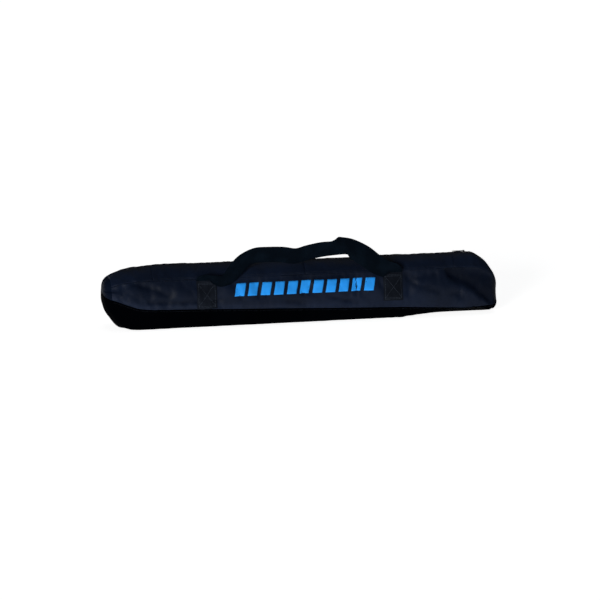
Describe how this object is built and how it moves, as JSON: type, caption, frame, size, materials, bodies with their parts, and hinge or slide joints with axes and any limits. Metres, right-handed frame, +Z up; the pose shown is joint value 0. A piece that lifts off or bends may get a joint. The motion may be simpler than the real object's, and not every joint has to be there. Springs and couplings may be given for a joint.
{
  "type": "ski bag",
  "caption": "Soft short-ski bag with a zip along its top ridge, folding top flaps, two webbing carry handles and a row of slanted blocks printed on the front.",
  "frame": {"origin": "centre of the bottom face, on the surface the bag stands on", "axes": "+X along the bag to the end where the closed zip's slider is, -Y the printed front, +Z up"},
  "size_m": [1, 0.1298, 0.2095],
  "materials": {
    "bag_fabric": "black polyester with a faint blue sheen",
    "webbing": "black flat webbing",
    "thread": "dark grey sewing thread",
    "zip_tape": "black woven tape",
    "zip_coil": "black nylon coil",
    "slider_metal": "black lacquered zinc",
    "print": "blue screen print",
    "binding": "black binding tape"
  },
  "bodies": {
    "bag": {"bottom_panel": "bag_fabric", "front_panel": "bag_fabric", "back_panel": "bag_fabric", "left_end_panel": "bag_fabric", "right_end_panel": "bag_fabric", "left_top_end": "bag_fabric", "right_top_end": "bag_fabric", "left_zip_end": "zip_coil", "right_zip_end": "zip_coil", "left_zip_stop": "slider_metal", "right_zip_stop": "slider_metal", "front_handle_ends": "webbing", "back_handle_ends": "webbing", "front_handle_stitching": "thread", "back_handle_stitching": "thread", "front_print": "print", "front_bottom_binding": "binding", "back_bottom_binding": "binding", "front_top_binding": "binding", "back_top_binding": "binding", "left_end_binding": "binding", "right_end_binding": "binding"},
    "front_flap": {"front_top_flap": "bag_fabric", "front_zip_tape": "zip_tape", "front_zip_coil": "zip_coil", "front_flap_stitching": "thread"},
    "back_flap": {"back_top_flap": "bag_fabric", "back_zip_tape": "zip_tape", "back_zip_coil": "zip_coil", "back_flap_stitching": "thread"},
    "slider": {"zip_slider": "slider_metal"},
    "pull": {"zip_pull": "slider_metal"},
    "front_handle": {"front_handle_loop": "webbing"},
    "back_handle": {"back_handle_loop": "webbing"}
  },
  "joints": [
    {"name": "zip_slide", "type": "slide", "parent": "bag", "child": "slider", "axis": [-1, 0, 0], "range_m": [0, 0.8]},
    {"name": "pull_tip", "type": "hinge", "parent": "slider", "child": "pull", "pos_m": [0.4188, 0, 0.1528], "axis": [0, 1, 0], "range_deg": [0, 150]},
    {"name": "front_flap_fold", "type": "hinge", "parent": "bag", "child": "front_flap", "pos_m": [0, -0.047, 0.12], "axis": [1, 0, 0], "range_deg": [0, 40]},
    {"name": "back_flap_fold", "type": "hinge", "parent": "bag", "child": "back_flap", "pos_m": [0, 0.047, 0.12], "axis": [-1, 0, 0], "range_deg": [0, 40]},
    {"name": "front_handle_swing", "type": "hinge", "parent": "bag", "child": "front_handle", "pos_m": [0, -0.05009, 0.11539], "axis": [1, 0, 0], "range_deg": [-5, 148]},
    {"name": "back_handle_swing", "type": "hinge", "parent": "bag", "child": "back_handle", "pos_m": [0, 0.05009, 0.11539], "axis": [1, 0, 0], "range_deg": [0, 140]}
  ]
}
